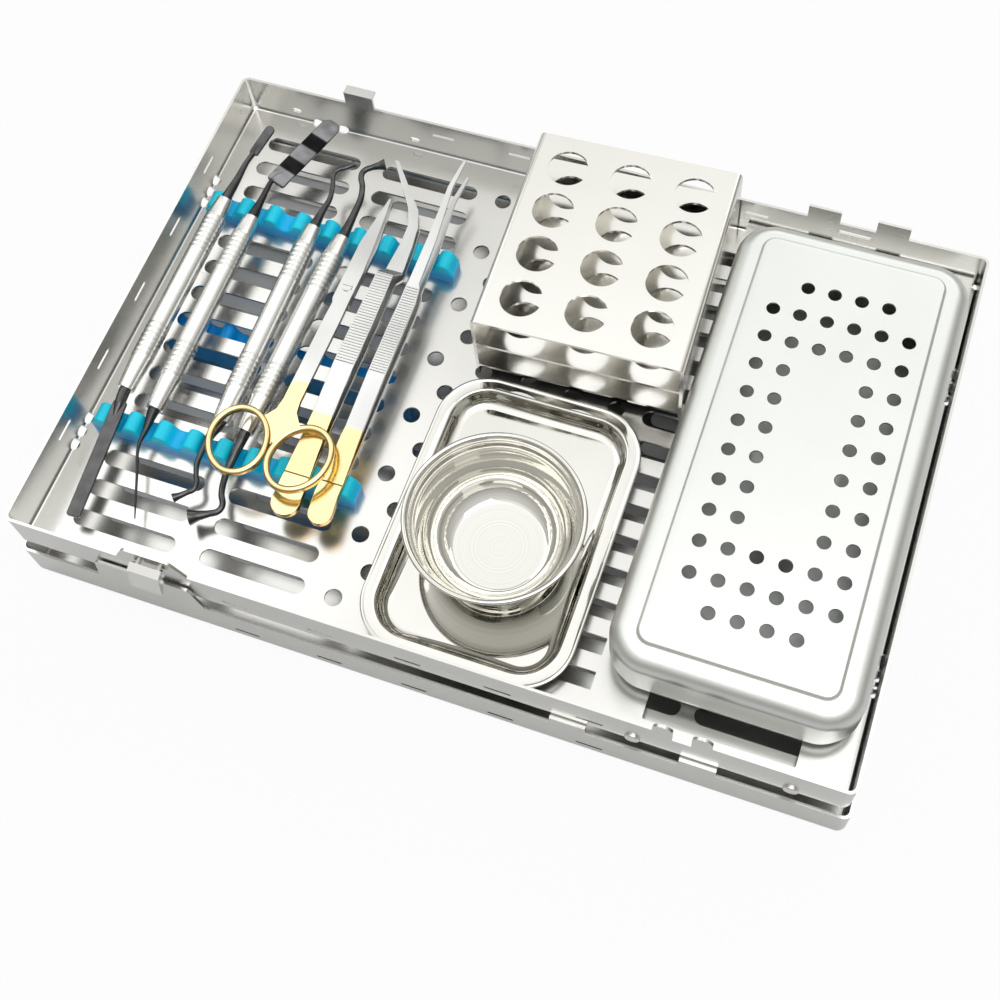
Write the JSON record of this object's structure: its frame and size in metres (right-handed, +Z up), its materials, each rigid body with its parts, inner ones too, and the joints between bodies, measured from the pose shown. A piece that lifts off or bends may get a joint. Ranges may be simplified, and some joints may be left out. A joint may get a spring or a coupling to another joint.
{
  "type": "dental instrument cassette",
  "caption": "Perforated steel instrument cassette with a lid beneath it, holding a lidded membrane box, tube rack, mirror dish, mixing bowl and hand instruments.",
  "frame": {"origin": "middle of the lid's flat underside, on the surface the cassette stands on", "axes": "+Z up, +Y from the latch side to the rear wall, +X to the membrane box side"},
  "size_m": [0.304, 0.2157, 0.0605],
  "materials": {
    "steel": "fine satin sheet steel",
    "silicone": "matt light blue silicone",
    "brushed_box": "soft bright brushed steel",
    "rack_steel": "satin sheet steel",
    "mirror_steel": "mirror polished steel",
    "polished_steel": "polished steel",
    "satin_handle": "satin hollow handle",
    "black_tips": "glossy black hard coating"
  },
  "bodies": {
    "lid": {"lid_shell": "steel", "lid_silicone_rail": "silicone"},
    "tray": {"tray_pan": "steel", "rear_silicone_rail": "silicone", "front_silicone_rail": "silicone", "box_platform": "steel", "platform_rivets": "steel", "latch_pin": "steel", "latch_spring": "steel"},
    "latch": {"latch_lever": "steel"},
    "membrane_box": {"membrane_box": "brushed_box"},
    "strainer": {"membrane_box_strainer": "brushed_box"},
    "press_plate": {"membrane_box_press_plate": "brushed_box"},
    "membrane_box_lid": {"membrane_box_lid": "brushed_box"},
    "tube_rack": {"rack_frame": "rack_steel", "rack_middle_plate": "rack_steel", "rack_base_plate": "rack_steel"},
    "mirror_dish": {"mirror_dish": "mirror_steel"},
    "mixing_bowl": {"mixing_bowl": "mirror_steel"},
    "scraper": {"scraper_handle": "satin_handle", "scraper_tips": "black_tips"},
    "retractor": {"retractor_handle": "satin_handle", "retractor_tips": "black_tips"},
    "small_plugger": {"small_plugger_handle": "satin_handle", "small_plugger_tips": "black_tips"},
    "large_plugger": {"large_plugger_handle": "satin_handle", "large_plugger_tips": "black_tips"},
    "angled_tweezers": {"angled_tweezers_lower_arm": "polished_steel"},
    "angled_tweezers_upper": {"angled_tweezers_upper_arm": "polished_steel"},
    "straight_tweezers": {"straight_tweezers_lower_arm": "polished_steel"},
    "straight_tweezers_upper": {"straight_tweezers_upper_arm": "polished_steel"},
    "scissors": {"scissors_left_ring_half": "polished_steel", "scissors_screw": "polished_steel"},
    "scissors_right": {"scissors_right_ring_half": "polished_steel"}
  },
  "joints": [
    {"name": "tray_lift", "type": "slide", "parent": "lid", "child": "tray", "axis": [0, 0, 1], "range_m": [0, 0.06]},
    {"name": "latch_swing", "type": "hinge", "parent": "tray", "child": "latch", "pos_m": [-0.0924, -0.105, 0.044], "axis": [-1, 0, 0], "range_deg": [0, 30], "stiffness_Nm_per_rad": 0.02, "springref_deg": -22.92},
    {"name": "membrane_box_lift", "type": "slide", "parent": "tray", "child": "membrane_box", "axis": [0, 0, 1], "range_m": [0, 0.05]},
    {"name": "strainer_lift", "type": "slide", "parent": "membrane_box", "child": "strainer", "axis": [0, 0, 1], "range_m": [0, 0.03]},
    {"name": "press_plate_lift", "type": "slide", "parent": "strainer", "child": "press_plate", "axis": [0, 0, 1], "range_m": [0, 0.03]},
    {"name": "membrane_box_lid_lift", "type": "slide", "parent": "press_plate", "child": "membrane_box_lid", "axis": [0, 0, 1], "range_m": [0, 0.05]},
    {"name": "tube_rack_lift", "type": "slide", "parent": "tray", "child": "tube_rack", "axis": [0, 0, 1], "range_m": [0, 0.05]},
    {"name": "mirror_dish_lift", "type": "slide", "parent": "tray", "child": "mirror_dish", "axis": [0, 0, 1], "range_m": [0, 0.05]},
    {"name": "mixing_bowl_lift", "type": "slide", "parent": "mirror_dish", "child": "mixing_bowl", "axis": [0, 0, 1], "range_m": [0, 0.05]},
    {"name": "scraper_lift", "type": "slide", "parent": "tray", "child": "scraper", "axis": [0, 0, 1], "range_m": [0, 0.05]},
    {"name": "retractor_lift", "type": "slide", "parent": "tray", "child": "retractor", "axis": [0, 0, 1], "range_m": [0, 0.05]},
    {"name": "small_plugger_lift", "type": "slide", "parent": "tray", "child": "small_plugger", "axis": [0, 0, 1], "range_m": [0, 0.03]},
    {"name": "large_plugger_lift", "type": "slide", "parent": "small_plugger", "child": "large_plugger", "axis": [0, 0, 1], "range_m": [0, 0.03]},
    {"name": "angled_tweezers_lift", "type": "slide", "parent": "large_plugger", "child": "angled_tweezers", "axis": [0, 0, 1], "range_m": [0, 0.03]},
    {"name": "straight_tweezers_lift", "type": "slide", "parent": "angled_tweezers", "child": "straight_tweezers", "axis": [0, 0, 1], "range_m": [0, 0.03]},
    {"name": "scissors_lift", "type": "slide", "parent": "straight_tweezers", "child": "scissors", "axis": [0, 0, 1], "range_m": [0, 0.03]},
    {"name": "scissors_open", "type": "hinge", "parent": "scissors", "child": "scissors_right", "pos_m": [-0.0706, 0.0208, 0.0405], "axis": [0, 0, 1], "range_deg": [0, 30]},
    {"name": "angled_tweezers_squeeze", "type": "hinge", "parent": "angled_tweezers", "child": "angled_tweezers_upper", "pos_m": [-0.0603, -0.0534, 0.0356], "axis": [-1, 0, 0], "range_deg": [0, 1.5], "stiffness_Nm_per_rad": 0.6, "springref_deg": -1.15},
    {"name": "straight_tweezers_squeeze", "type": "hinge", "parent": "straight_tweezers", "child": "straight_tweezers_upper", "pos_m": [-0.0476, -0.0527, 0.0356], "axis": [-1, 0, 0], "range_deg": [0, 3.9], "stiffness_Nm_per_rad": 0.6, "springref_deg": -1.15}
  ]
}
